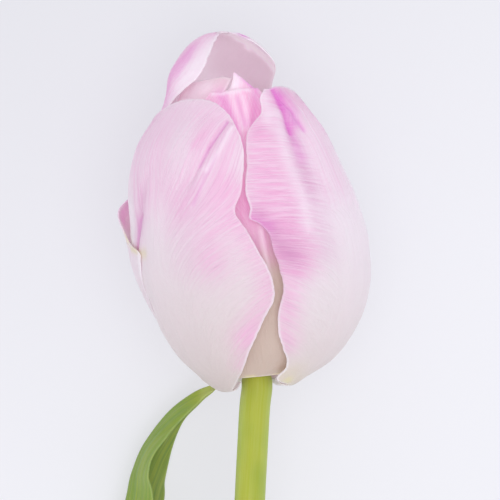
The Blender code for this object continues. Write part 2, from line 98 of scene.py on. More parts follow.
# Each petal: its two margins as (distance, azimuth), its tip edge as (share of the width, distance), the azimuths
# between which it sinks under its neighbour, how far they shift by distance, and the distances between which the
# sinking ends. Then the azimuth of its midrib, how steeply its veins leave the midrib by distance, the side of the
# midrib on which its colour follows those veins, and how pale its thin margin is by distance, partly its own
# paleness and partly a painted highlight
PETALS = {
    "petal_front_left": {
        "profile": OUTER_PROFILE,
        "low": [
            (0, -90), (8, -94), (14, -106), (20, -108), (34, -106), (41, -99), (46, -92), (52, -91), (58, -97),
            (66, -94), (71.4, -80),
        ],
        "high": [
            (0, -60), (3, -50), (4.2, -44), (5.8, -33), (7.6, -26), (10, -21), (13.7, -15), (20.3, -5), (24.7, 1),
            (28.3, 6.7), (31.3, 8.1), (34.8, 7.4), (39.3, 4.1), (43.5, 0.6), (47.8, -3.6), (51.5, 0.8), (56.1, 4.6),
            (59.8, 6.6), (63.4, 6.1), (66.9, 3.5), (69.5, 1.2),
        ],
        "tip": [(0, 71.4), (0.22, 72.9), (0.46, 74.2), (0.72, 74.0), (0.87, 72.7), (0.95, 71.0), (1, 69.5)],
        "tuck": (-40, -56),
        "tuck_shift": [(20, -46), (26, -36), (31, -25), (36, -15), (41, -8)],
        "tuck_ends": (46, 54),
        "midrib": -44,
        "feather": [(30, 12), (48, 10), (68, 20)],
        "feathered_side": 1,
        "rim": [(10, 0.3), (22, 0.55), (38, 0.4), (47, 0.2), (66, 0.25)],
    },
    "petal_front_right": {
        "profile": OUTER_PROFILE,
        "low": [
            (0, 75), (3, 68), (4.2, 58), (5.2, 44), (6.2, 30), (7.6, 21), (11.2, 21), (17.3, 12.8), (21.7, 9.2),
            (25, 8.9), (28.8, 11.6), (31.6, 13.1), (35.9, 12.5), (40.2, 11.5), (43, 10.5), (45, 7), (46.2, 2.6),
            (48, 4.2), (50, 3.6), (53, 3.7), (57, 6.9), (61, 8.7), (64.5, 10.6), (66.5, 15.5), (68.5, 22.5),
            (71, 26), (73.2, 28.5), (75.2, 37),
        ],
        "high": [
            (0, 134), (8, 138), (14, 139), (20, 142), (34, 142), (46, 140), (56, 136), (64, 126), (70, 110),
            (73.3, 94),
        ],
        "tip": [(0, 75.2), (0.22, 75.6), (0.45, 75.3), (0.77, 74.3), (1, 73.3)],
        "tuck": (24, 11),
        "midrib": 48,
        "feather": [(33, 8), (38, 5.5), (42, 3), (54, 1.5)],
        "feathered_side": -1,
        "rim": [(8, 0.6), (22, 0.5), (30, 0.12), (44, 0.1), (47, 0.6), (53, 0.35), (60, 0.2), (70, 0.3)],
    },
    "petal_hood": {
        "profile": HOOD_PROFILE,
        "low": [
            (0, 150), (8, 148), (14, 142), (20, 134), (34, 131), (46, 129), (58, 129), (70, 132), (76.4, 127),
            (81, 98), (84, 80), (88, 62), (92.5, 46),
        ],
        "high": [
            (0, 252), (8, 258), (14, 262), (20, 263), (26, 270), (31, 279), (36, 287), (39, 292.5), (41.3, 294),
            (43.8, 279), (50, 265), (54, 257), (60, 258), (65, 266), (74, 297), (77, 317), (79, 333), (82, 340.5),
            (86.5, 345), (92, 356),
        ],
        "tip": [(0, 92.5), (0.15, 95), (0.4, 97.4), (0.6, 97.4), (0.85, 95), (1, 92)],
        "tuck": (158, 145),
        "tuck_ends": (58, 68),
        "midrib": 205,
        "feather": [(0, 14)],
        "rim": [(36, 0.3), (48, 0.15), (60, 0.2), (85, 0.35)],
    },
    "petal_inner_front": {
        "profile": INNER_PROFILE,
        "low": [(0, -30), (6, -45), (14, -56), (26, -62), (40, -62), (52, -58), (62, -48), (68, -34), (72.3, -19)],
        "high": [(0, 52), (6, 60), (14, 66), (26, 70), (40, 70), (52, 68), (62, 62), (71.2, 48)],
        "tip": [
            (0, 72.3), (0.25, 72.5), (0.38, 73.2), (0.5, 75.4), (0.6, 77.3), (0.7, 76.2), (0.84, 74), (1, 71.8),
        ],
        "tuck": (42, 53),
        "midrib": 8,
        "feather": [(0, 20)],
        "rim": [(0, 0.25)],
    },
    "petal_inner_right": {
        "profile": INNER_PROFILE,
        "low": [(0, 82), (6, 66), (14, 58), (26, 54), (40, 54), (52, 56), (60, 64), (65, 76)],
        "high": [(0, 168), (6, 182), (14, 190), (26, 196), (40, 196), (50, 190), (58, 176), (65, 150)],
        "tip": [(0, 65), (0.3, 69), (0.5, 70), (0.7, 69), (1, 65)],
        "tuck": (166, 177),
        "midrib": 125,
        "feather": [(0, 20)],
        "rim": [(0, 0.25)],
    },
    "petal_inner_left": {
        "profile": INNER_PROFILE,
        "low": [(0, 205), (6, 190), (14, 183), (26, 179), (40, 179), (52, 185), (62, 198), (70, 222)],
        "high": [(0, 290), (6, 300), (14, 306), (26, 312), (40, 314), (52, 316), (62, 328), (70, 350), (75.6, 372)],
        "tip": [(0, 70), (0.2, 73.2), (0.45, 75.2), (0.7, 76), (0.88, 76.3), (1, 75.6)],
        "tuck": (286, 297),
        "midrib": 255,
        "feather": [(0, 20)],
        "rim": [(0, 0.25)],
    },
}
OUTER_PETALS = ("petal_front_left", "petal_front_right", "petal_hood")
INNER_PETALS = ("petal_inner_front", "petal_inner_left", "petal_inner_right")
OUTER_GRID = (120, 190)
INNER_GRID = (84, 120)

# Creases and ridges: points (distance, azimuth), depth, where a ridge is less than 0, and half width
RELIEF = {
    "petal_front_left": [
        ([(68.3, -3), (61.3, -14), (55, -27)], 0.6, 2.2),
        ([(67.5, -1), (65, -7), (62, -13), (58, -19), (55, -24)], 0.34, 0.5),
        ([(66, 1), (63, -4), (60, -10), (57, -17), (54, -21)], -0.3, 1.0),
        ([(49, -65), (45, -69), (41.5, -73)], 0.6, 1.1),
        ([(57, -56), (50, -63)], 0.4, 1.4),
    ],
    "petal_front_right": [
        ([(76, 42), (69, 43), (64, 42)], 0.6, 2.4),
        ([(64, 42), (56, 39)], 0.35, 2.6),
        ([(75, 47), (71, 45), (69, 44), (66, 41), (62, 40)], 0.3, 0.8),
        ([(72, 49), (69, 52), (66, 51), (63, 52)], 0.3, 0.7),
        ([(71, 48), (66, 46.5)], -0.2, 0.6),
        ([(69, 35), (60, 30), (53, 31), (43, 31)], -0.3, 1.6),
        ([(46, 1), (45, 7), (43, 14)], 0.3, 1.0),
    ],
    "petal_inner_front": [
        ([(72, -6), (66, 0), (60, 5)], 0.4, 0.9),
        ([(71, 12), (63, 13)], 0.25, 0.7),
        ([(71, 36), (67, 28), (62, 18)], 0.4, 1.2),
        ([(71, 19), (66, 17), (60, 14)], -0.3, 0.7),
        ([(14, 8), (50, 6)], -0.9, 4.0),
        ([(41, 8), (36, 8), (28, 8)], -0.35, 0.55),
    ],
}

# How uneven the petals' margins are, in mm: the common amount and the petals that differ from it, the distances from
# the foot over which it sets in, how far in from a margin it reaches, its coarse and fine waves in turns per mm, and
# the smallest radius at which it is measured
COMMON_FRAY = 0.16
FRAY = {"petal_hood": 0.34, "petal_front_right": 0.26}
FRAY_STARTS = (6, 16)
FRAY_REACH = 3
FRAY_WAVES = (0.32, 0.95)
FINE_FRAY_SHARE = 0.7
FRAY_RADIUS = 4

# The back petal's left margin flares out of the bloom at this distance from its foot
FLARE_DISTANCE = 49.4
FLARE_LENGTH = 4.0
FLARE_AZIMUTHS = (246, 264)
FLARE_HEIGHT = 2.6
# Below the flare the same margin is pressed in, over these shares of the width and these distances
PRESSED_DEPTH = 0.3
PRESSED_ACROSS = (0.925, 1)
PRESSED_STARTS = (8, 14)
PRESSED_ENDS = (36, 40)
# The inner front petal has a small ledge under its tip, between these distances
LEDGE_DEPTH = 0.8
LEDGE_STARTS = (71.9, 72.6)

# The petals' soft waves, coarse and fine, by how fast they change per mm. WAVE_STRETCH draws them out along the
# flower. Both they and the veins fade out towards the foot, from SMOOTH_FOOT on
WAVE_PITCHES = (0.11, 0.24)
FINE_WAVE_SHARE = 0.6
WAVE_STRETCH = 0.6
SMOOTH_FOOT = 20
# The fine veins, by how fast they change per mm: across them, and along the feathered and the straight ones
VEIN_PITCH = 1.1
VEIN_LENGTHWISE = (0.06, 0.03)
# The feathered veins bend away from the midrib over this width, and give way to the straight ones over this one. A
# petal without a feathered side has this share of them all over
VEIN_SPREAD = 5
FEATHER_BLEND = 1.5
EVEN_FEATHER = 0.4
STREAKS_ACROSS = 42
# A petal or leaf reaches its full thickness at this distance from its margin, and thins out along this curve. The
# leaf's margin has this share of its thickness
FULL_WALL = 2.5
WALL_CURVE = 0.6
LEAF_MARGIN_SHARE = 0.45

# Where the petals carry colour: strokes of a soft brush, each with its strength, half width and points. The light
# strokes are painted highlights, the mauve ones painted shade in folds and hollows, and the magenta ones are partly
# the flower's own deep pink and partly painted shade in its creases and slits
PAINT = {
    "petal_front_left": {
        "blush": [
            (0.38, 7, [(71, -72), (72, -45), (71, -15)]),
            (0.5, 6, [(67, -84), (60, -72), (53, -62)]),
            (0.4, 5, [(64, -50), (54, -42)]),
            (0.22, 3.2, [(66, -14), (59, -24), (51, -33), (46, -37)]),
            (0.3, 3.0, [(61, -12), (54, -22), (48, -29)]),
            (0.55, 5, [(64, -1), (60, -5), (50, -12), (43, -16), (38, -19)]),
            (0.6, 3.6, [(52, 1), (47, -4), (43, 1), (39, 4), (35, 7), (31, 6), (28, 4), (25, -2), (21, -9)]),
            (0.35, 2.4, [(21, -9), (14, -18)]),
            (0.5, 1.6, [(65, -17), (63, -21)]),
        ],
        "magenta": [
            (0.38, 0.4, [(67.8, -1), (65, -7), (62, -13), (58, -19)]),
            (0.25, 0.4, [(60, -9), (55, -17), (50, -24)]),
            (0.3, 1.0, [(48, -66), (42.5, -72)]),
        ],
        "light": [
            (0.6, 0.6, [(66, 1.5), (63, -3.5), (60, -9), (57, -15)]),
            (0.4, 2.5, [(50, -80), (44, -80)]),
        ],
        "mauve": [
            (0.35, 0.45, [(67.8, -1), (65, -7), (62, -13)]),
            (0.5, 1.7, [(48, -66), (45, -69), (42, -72)]),
            (0.3, 2.4, [(53, -61), (43, -70)]),
            (0.14, 4.5, [(50, -26), (44, -32), (38, -34)]),
        ],
        "green": [(0.8, 0.8, [(46, -89), (43, -90), (41, -87)]), (0.5, 1.2, [(41, -68), (41, -62)])],
    },
    "petal_front_right": {
        "blush": [
            (0.75, 8, [(70, 28), (62, 18), (55, 14), (48, 14), (43, 18)]),
            (0.7, 2.4, [(46, 3), (45, 7), (44, 11), (42, 17)]),
            (0.7, 3, [(43, 8), (41, 11), (39, 14), (37, 18), (35, 20)]),
            (0.65, 3.2, [(37, 12), (33, 13), (28, 14), (23, 13), (18, 14)]),
            (0.55, 5, [(74, 55), (72, 75), (67, 86)]),
            (0.4, 5, [(66, 56), (58, 54), (52, 50)]),
            (0.3, 6, [(72, 68), (66, 72), (60, 70), (53, 66)]),
            (0.5, 3, [(74, 40), (72, 50), (70, 60)]),
            (0.35, 4, [(63, 24), (56, 23), (48, 24)]),
            (0.6, 4, [(46, 14), (43, 19), (41, 22), (37, 25)]),
        ],
        "magenta": [
            (0.3, 1.3, [(74.5, 56), (72, 58), (69, 57)]),
            (0.75, 1.0, [(75, 48), (71, 45), (69, 44), (66, 41), (64, 41)]),
            (0.65, 0.65, [(72, 48), (70, 50), (69, 52), (66, 51), (64, 52)]),
            (0.6, 1.5, [(73, 49), (71, 47), (69, 49), (66, 48)]),
            (0.35, 1.6, [(65, 41), (61, 40), (58, 40)]),
            (0.3, 1.4, [(46, 2), (45, 7), (44, 12)]),
        ],
        "mauve": [
            (0.35, 2.4, [(64, 40), (58, 40), (51, 38)]),
            (0.65, 3.0, [(46, 7), (43, 11), (40.5, 15), (37.5, 19)]),
            (0.18, 3.5, [(53, 39), (46, 40), (38, 40)]),
            (0.4, 2.5, [(72, 88), (67, 91), (61, 91), (56, 93)]),
        ],
        "light": [
            (0.4, 1.4, [(69, 35), (60, 30), (53, 31), (48, 32), (43, 31)]),
            (0.6, 1.5, [(74, 32), (69, 28), (67, 26)]),
            (0.3, 3, [(68, 59), (60, 54), (54, 51)]),
        ],
        "beige": [(0.95, 2.6, [(4, 55), (5.5, 38), (8, 28)])],
        "green": [(0.55, 0.9, [(6.3, 42), (7.3, 36)]), (0.25, 3.5, [(5, 60), (6.5, 42), (9, 28)])],
    },
    "petal_hood": {
        "blush": [
            (0.85, 5, [(64, 262), (70, 272), (77, 282), (84, 300), (92, 330)]),
            (0.85, 3, [(55, 257), (49, 260)]),
        ],
        "magenta": [
            (0.5, 2.0, [(55, 256), (52, 258), (48, 261)]),
            (0.35, 1.8, [(66, 262), (72, 272), (79, 285), (86, 308)]),
            (0.3, 0.9, [(74, 288), (76, 300)]),
            (0.3, 0.8, [(80, 305), (84, 316)]),
            (0.3, 0.8, [(68, 277), (71, 286)]),
            (0.9, 1.2, [(89.5, 64), (90.5, 84)]),
            (0.6, 0.9, [(90.5, 100), (91, 120)]),
        ],
        "light": [
            (0.6, 2.8, [(74, 300), (79, 320), (83, 333), (88, 345)]),
            (0.9, 1.9, [(91.5, 108), (89, 116), (87, 114), (84.5, 108), (82, 100)]),
            (0.95, 1.1, [(90, 96), (88, 120), (86, 122), (84.5, 120), (83, 116), (80, 112)]),
            (0.9, 0.8, [(91, 130), (89, 138), (87.6, 126), (86, 134)]),
            (0.7, 1.0, [(92, 110), (93, 130)]),
            (0.4, 0.8, [(81, 98), (79, 112), (75, 122)]),
            (0.7, 3.4, [(84, 214), (80, 203), (78, 195)]),
            (0.8, 0.5, [(41, 294), (39, 292), (36, 286.5)]),
        ],
        "green": [(0.7, 0.8, [(41.6, 293), (42.2, 285)]), (0.8, 0.9, [(46, 276), (43.8, 279)])],
    },
    "petal_inner_front": {
        "blush": [(0.4, 4, [(46, 0), (41, 5), (37, 7)])],
        "magenta": [
            (0.34, 1.1, [(72, -8), (66, 0), (62, 4), (57, 6)]),
            (0.3, 1.5, [(71, 38), (67, 28), (63, 18)]),
            (0.2, 0.45, [(71, 0), (66, 4), (62, 7)]),
            (0.25, 0.6, [(70, 12), (67, 12), (63, 13)]),
            (0.85, 0.8, [(77, 25), (75, 34), (72.5, 44)]),
        ],
        "light": [
            (0.32, 0.7, [(71, 6), (66, 8), (62, 10)]),
            (0.32, 0.6, [(70, 18), (66, 17), (62, 15)]),
            (0.3, 0.8, [(71, 46), (68, 39)]),
            (0.5, 0.5, [(71.6, -16), (71.6, 0), (71.6, 14), (71.6, 28)]),
            (0.5, 0.6, [(4.6, -34), (5, 0), (4.8, 48)]),
            (0.8, 2.0, [(76, 20), (73.5, 12)]),
            (0.35, 0.45, [(40, 8), (36, 8), (30, 8)]),
        ],
        "mauve": [
            (0.35, 3, [(46, 0), (42, 2), (39, 5)]),
            (0.4, 0.6, [(38, 4), (33, 5)]),
            (0.3, 2, [(38, 11), (34, 12)]),
        ],
        "green": [(0.6, 0.7, [(5.6, -14), (5.6, -7)]), (0.6, 0.7, [(5.4, 26), (5.4, 34)])],
    },
    "petal_inner_left": {
        "blush": [(0.3, 4, [(72, 368), (72, 340)])],
        "magenta": [(0.25, 1.5, [(72, 350), (71, 364)])],
        "light": [(0.75, 3.2, [(70, 296), (73, 312), (74, 326)])],
    },
}
# What a petal has all over, before its strokes, and between which distances it turns beige towards its foot: partly
# the petals' own cream foot and partly painted shade on their lower part
GROUND = {
    "petal_front_left": {"blush": 0.11},
    "petal_front_right": {"blush": 0.06},
    "petal_hood": {"blush": 0.24},
    "petal_inner_front": {"blush": 0.72},
    "petal_inner_left": {"blush": 0.26, "beige": 0.52},
    "petal_inner_right": {"blush": 0.4},
}
BEIGE_FROM = {
    "petal_front_left": (64, 2),
    "petal_front_right": (50, -2),
    "petal_hood": (60, 0),
    "petal_inner_front": (46, 33),
    "petal_inner_left": (42, 10),
    "petal_inner_right": (42, 10),
}
CHANNELS = ("beige", "blush", "mauve", "magenta", "green", "light")
# Painted light on the petals' feet, against the shade by the stem, which sets in between these distances
FOOT_PAINTED_LIGHT = 0.8
FOOT_PAINTED_LIGHT_BETWEEN = (4.5, 2.5)
# How far the outer and the inner petals turn beige towards their feet, partly their own colour and partly painted
# shade
FOOT_STRENGTHS = (0.62, 0.92)
# How much of the painted pinks shows on a petal's inner face, and of the painted light on its outer and inner face
INSIDE_PAINT = 0.5
LIGHT_STRENGTHS = (0.75, 0.9)
# How much a petal's outer and inner face shine by themselves, in place of light that comes through it
GLOWS = {"petal_inner_front": (0.25, 0.25), **dict.fromkeys(OUTER_PETALS, (0.05, 0.2))}
COMMON_GLOWS = (0.2, 0.2)

# Stem: middle line from the joint to the cut end, relative to the joint, and its receptacle as (height, radius)
STEM_LINE = [
    (0.1, -2.5, 0.0), (-0.3, -6.0, -0.2), (-0.75, -14.0, -0.8), (-1.4, -26.0, -2.0), (-3.0, -60.0, -5.4),
    (-4.8, -100.0, -9.5), (-6.0, -140.0, -13.6), (-6.2, -180.0, -17.4), (-5.4, -224.0, -20.6),
]
RECEPTACLE = [(2.4, 2.1), (1.1, 2.3), (0.4, 3.05), (-0.8, 3.25)]
STEM_GRID = (56, 240)
# Ribs round the stem and an uneven wave, which set in over this distance from the joint
STEM_RIBS = 9
STEM_RIB_HEIGHT = 0.025
STEM_WAVE = 0.05
STEM_WAVE_PITCH = 0.05
STEM_RIBS_START = 8
# The cut face's rings, from the rim inwards: their width and how deep they sink
CUT_RINGS = ((0.35, 0.02), (0.5, -0.06), (0.9, 0.05))

# Pistil, as (radius, height), with how far its three ridges stand out, and the three lobes of its stigma
PISTIL_PROFILE = [(3.9, 2.9), (2.9, 4.2), (3.0, 6.0), (3.0, 9.0), (2.7, 12.5), (2.2, 15.5), (1.9, 17.2)]
PISTIL_RIDGES = 0.07
STIGMA_HEIGHT = 17.6
STIGMA_RADIUS = 1.2
STIGMA_TURN = 15
STIGMA_LOBE = (1.0, 1.3, 2.1)

# Stamens. The radii and heights are those of a filament's foot and top, and the spread is in radians
STAMEN_COUNT = 6
STAMEN_TURN = 30
STAMEN_RADII = (3.3, 6.4)
FILAMENT_HEIGHTS = (3.6, 11.5)
FILAMENT_THICKNESS = (0.8, 0.4)
ANTHER_LENGTH = 9.5
ANTHER_SACK = (0.75, ANTHER_LENGTH / 2, 1.0)
ANTHER_SPREAD = 0.085

# Leaf: stations from the clasping foot to the tip. Each has the keel's place relative to the joint, the breadth of
# one wing, the wings' angles from the leaf's opening at the keel and at the margin, and the roll of the opening
LEAF_STATIONS = [
    ((-9.7, -130.0, -12.6), 7.0, 90, -12, 0),
    ((-9.5, -121.0, -11.7), 8.2, 90, -12, 0),
    ((-10.6, -108.0, -10.9), 10.4, 84, 8, 2),
    ((-14.2, -90.0, -11.8), 12.8, 68, 26, 5),
    ((-19.8, -72.0, -13.6), 13.6, 58, 34, 8),
    ((-25.4, -52.0, -14.9), 12.6, 52, 38, 6),
    ((-28.3, -34.0, -15.8), 10.6, 50, 40, 4),
    ((-27.2, -24.5, -17.2), 9.2, 50, 42, 12),
    ((-26.0, -19.8, -17.6), 7.9, 52, 44, 19),
    ((-23.7, -14.7, -17.6), 6.9, 52, 44, 18),
    ((-18.7, -8.2, -17.2), 4.9, 54, 44, 5),
    ((-13.6, -4.2, -16.0), 3.2, 48, 40, 0),
    ((-9.4, -2.2, -14.3), 1.35, 42, 40, 0),
]
LEAF_GRID = (64, 260)
# A wing curls in this many steps. Its uneven wave and its ribs stand up by these heights, and its tip turns yellow
# over this length. The ribs' pitch is in radians per mm, and QUARTER_TURN in radians
LEAF_BENDS = 8
LEAF_WAVE = 0.22
LEAF_WAVE_PITCH = 0.07
LEAF_RIB_HEIGHT = 0.045
LEAF_RIB_PITCH = 3.6
LEAF_TIP_LENGTH = 9
QUARTER_TURN = 1.57

# Table and camera, in metres: the table darkens towards this way, between these distances, down to this share. The
# photo's middle lies this many of its pixels from the joint
TABLE_RADIUS = 4
SHADE_WAY = (-0.5, 0.85, 0.0)
SHADE_BETWEEN = (0.03, 0.22)
SHADE_SHARE = 0.86
WINDOW_SIZE = 1.2
WINDOW_PLACE = (0.12, -0.05, 1.3)
BLOOM_MIDDLE = (0.0, BLOOM_BASE[1] * MM + 0.03, 0.03)
PHOTO_WIDTH = 500
PHOTO_MIDDLE = (-6.5, 127)
SENSOR_WIDTH = 36


def srgb(code):
    """A colour from six hexadecimal digits, in the linear values that Blender's shaders take."""
    parts = [int(code[k : k + 2], 16) / 255 for k in (0, 2, 4)]
    return tuple(part / 12.92 if part <= 0.04045 else ((part + 0.055) / 1.055) ** 2.4 for part in parts)


def colour_property(name, code, description):
    return FloatVectorProperty(
        name=name, description=description, subtype="COLOR", size=3, min=0, max=1, default=srgb(code)
    )


def length_property(name, default, description):
    return FloatProperty(name=name, description=description, default=default, subtype="DISTANCE", unit="LENGTH")


class TulipBloomSettings(bpy.types.PropertyGroup):
    """Sizes and colours of the six petals."""

    wall: length_property("Petal thickness", 0.5 * MM, "Thickness at a petal's middle")
    margin: length_property("Margin thickness", 0.2 * MM, "Thickness at a petal's margin")
    waves: length_property("Waves", 0.22 * MM, "Height of the soft waves in the petals")
    veins: length_property("Vein relief", 0.05 * MM, "Height of the fine veins")
    body: colour_property("White", "EAE0E8", "The petals' pale ground")
    blush: colour_property("Blush", "E8B0D1", "The pink that feathers in from the margins")
    # Magenta is partly the flower's own deep pink and partly painted shade in its creases
    magenta: colour_property("Magenta", "D86CC4", "The deep colour in the creases")
    rose: colour_property("Rose", "E29BC2", "The warmer pink of the inner petals")
    mauve: colour_property("Mauve", "C98DB6", "The shaded purple in folds")
    # Beige and the inner foot colour are partly the petals' own cream feet and partly painted shade on their lower
    # parts
    beige: colour_property("Beige", "C1B1A5", "The petals' colour towards their feet")
    foot: colour_property("Inner foot", "B4A193", "The inner petals' colour towards their feet")
    pale: colour_property("Pale", "F8EDF6", "The lit margins and ridges")
    green: colour_property("Green tinge", "DAD09A", "The yellow-green that is left on a hem")
    inside: colour_property("Inside", "DDD0D8", "The petals' inner faces")


class TulipGreenSettings(bpy.types.PropertyGroup):
    """Sizes and colours of the stem, the leaf and the pistil."""

    stem_top: length_property("Stem top radius", 3.25 * MM, "Radius under the bloom")
    stem_end: length_property("Stem end radius", 3.05 * MM, "Radius at the cut")
    leaf_wall: length_property("Leaf thickness", 0.62 * MM, "Thickness at the leaf's keel")
    stem: colour_property("Stem", "A9B02F", "The stem's green")
    # A painted highlight: the stem's flanks in a lighter green
    stem_flank_highlight: colour_property("Stem sides", "AEBE5E", "The stem's lighter flanks")
    cut: colour_property("Cut end", "D3DBA6", "The pith at the stem's cut end")
    leaf_outside: colour_property("Leaf outside", "6F9131", "The leaf's outer face")
    leaf_inside: colour_property("Leaf inside", "68832D", "The leaf's inner face")
    ovary: colour_property("Ovary", "B9C486", "The pistil's green")
    anther: colour_property("Anther", "4A3A52", "The stamens' dark pollen sacs")


class TulipStageSettings(bpy.types.PropertyGroup):
    """The table, the light and the camera."""

    camera_height: length_property("Camera height", 1.0, "Camera's height over the bloom's axis")
    view_width: length_property("View width", 0.105, "What the camera sees across at that height")
    surround: colour_property("Surround", "EDEDF2", "The table and the room around it")
    room_light: FloatProperty(name="Room light", description="Strength of the even light", default=1.05, min=0)
    glow: FloatProperty(name="Table glow", description="How much the table shines by itself", default=0.55, min=0)
    window_light: FloatProperty(
        name="Window light", description="Power of the large soft light", default=4.7, min=0, unit="POWER"
    )


class Track:
    """A smooth line through points, read by the distance along it."""

    def __init__(self, points, steps=16):
        points = [Vector(p) for p in points]
        ends = [2 * points[0] - points[1], *points, 2 * points[-1] - points[-2]]
        self.line = []
        for a, b, c, d in zip(ends, ends[1:], ends[2:], ends[3:]):
            for step in range(steps):
                t = step / steps
                self.line.append(
                    (2 * b + (c - a) * t + (2 * a - 5 * b + 4 * c - d) * t**2 + (3 * b - 3 * c + d - a) * t**3) / 2
                )
        self.line.append(points[-1])
        self.along = [0.0]
        for a, b in zip(self.line, self.line[1:]):
            self.along.append(self.along[-1] + (b - a).length)
        self.length = self.along[-1]

    def at(self, distance):
        distance = min(max(distance, 0.0), self.length)
        k = min(max(bisect.bisect_right(self.along, distance), 1), len(self.along) - 1)
        share = (distance - self.along[k - 1]) / (self.along[k] - self.along[k - 1])
        return self.line[k - 1].lerp(self.line[k], share)

    def direction(self, distance, span=0.5):
        return (self.at(distance + span) - self.at(distance - span)).normalized()


def through(points, x):
    """The smooth curve y(x) through (x, y) points, level past both ends."""
    xs = [p[0] for p in points]
    if x <= xs[0]:
        return points[0][1]
    if x >= xs[-1]:
        return points[-1][1]
    k = bisect.bisect_right(xs, x) - 1

    def slope(i):
        low, high = max(i - 1, 0), min(i + 1, len(points) - 1)
        return (points[high][1] - points[low][1]) / (xs[high] - xs[low])

    step = xs[k + 1] - xs[k]
    t = (x - xs[k]) / step
    here, there = points[k][1], points[k + 1][1]
    return (
        here * (1 + 2 * t) * (1 - t) ** 2
        + there * t * t * (3 - 2 * t)
        + step * (slope(k) * t * (1 - t) ** 2 - slope(k + 1) * t * t * (1 - t))
    )


def ramp(x, start, full):
    """0 at start, 1 at full, smooth between them. start may be the larger."""
    t = min(max((x - start) / (full - start), 0.0), 1.0)
    return t * t * (3 - 2 * t)


def ramps(values, start, full):
    return np.array([ramp(x, start, full) for x in values])


def curve(points, values):
    return np.array([through(points, x) for x in values])


def full_wall(edge):
    """The share of a piece's full thickness, by the distance from its margin."""
    return np.clip(edge / FULL_WALL, 0, 1) ** WALL_CURVE


def even_ends(t):
    """Steps from 0 to 1 that are closer together near both ends."""
    return 0.55 * t + 0.45 * (1 - math.cos(math.pi * t)) / 2


PROFILES = {id(points): Track(points) for points in (OUTER_PROFILE, HOOD_PROFILE, INNER_PROFILE)}


def brush(points, half_width, distance, azimuth, radius):
    """How much a soft stroke covers each place, from 1 on its line to 0 well past its half width."""
    arc = np.radians(1.0) * radius
    nearest = np.full(distance.shape, np.inf)
    for (d0, a0), (d1, a1) in zip(points, points[1:]):
        x, y = (azimuth - a0) * arc, distance - d0
        across, along = (a1 - a0) * arc, d1 - d0
        share = np.clip((x * across + y * along) / (across**2 + along**2), 0, 1)
        nearest = np.minimum(nearest, np.hypot(x - share * across, y - share * along))
    return np.exp(-((nearest / half_width) ** 2))


